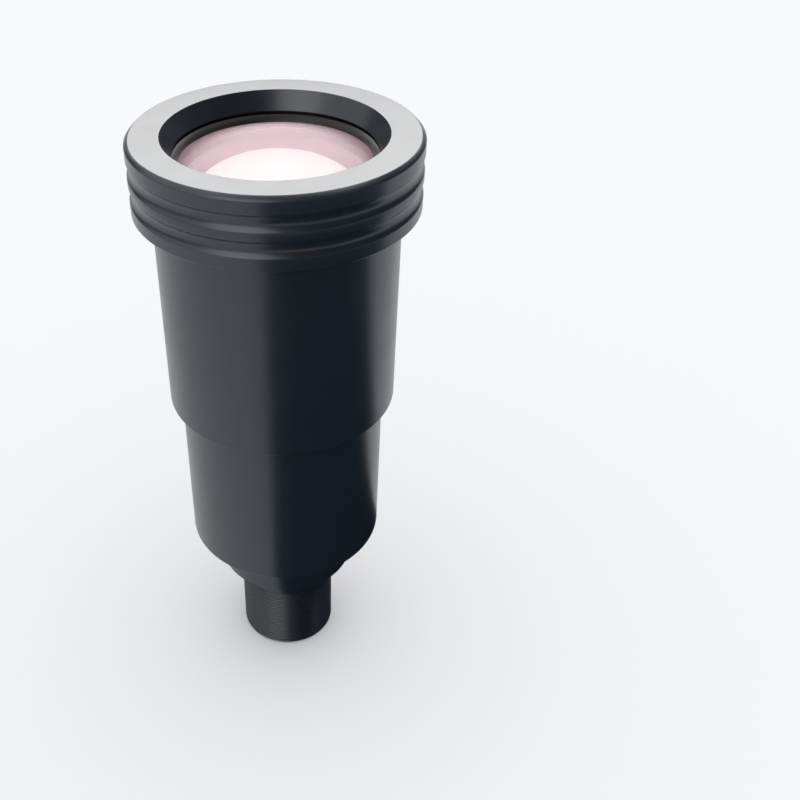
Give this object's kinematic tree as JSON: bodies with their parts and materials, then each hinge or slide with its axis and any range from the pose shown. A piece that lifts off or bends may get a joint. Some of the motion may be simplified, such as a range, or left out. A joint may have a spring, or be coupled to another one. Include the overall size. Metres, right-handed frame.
{
  "type": "s-mount lens",
  "caption": "Long-barrel lens with an M12 threaded nose, a stepped black tube, a grooved grip head and a coated front glass.",
  "frame": {"origin": "centre of the end face of the threaded nose", "axes": "+Z along the optical axis, from the nose towards the front glass; X and Y are free, because the lens is round"},
  "size_m": [0.03, 0.03, 0.0702],
  "materials": {
    "anodised_barrel": "fine turned, matte black anodised",
    "blackened_ring": "fine turned, dull black",
    "coated_front_glass": "polished, pink anti-reflection coating",
    "optical_glass": "polished, coated",
    "blackened_foil": "matte black"
  },
  "bodies": {
    "root": {"front_cap": "anodised_barrel", "front_barrel": "anodised_barrel", "rear_barrel": "anodised_barrel", "mount_tube": "anodised_barrel", "front_retaining_ring": "blackened_ring", "front_lens": "coated_front_glass", "front_spacer": "blackened_ring", "doublet_ring": "blackened_ring", "doublet_crown": "optical_glass", "doublet_flint": "optical_glass", "stop_disc": "blackened_foil", "relay_ring": "blackened_ring", "relay_crown": "optical_glass", "relay_flint": "optical_glass", "baffle_tube": "blackened_ring", "glare_stop": "blackened_foil", "rear_lens": "optical_glass", "rear_spacer": "blackened_ring", "field_lens": "optical_glass", "rear_ring": "blackened_ring"}
  },
  "joints": []
}
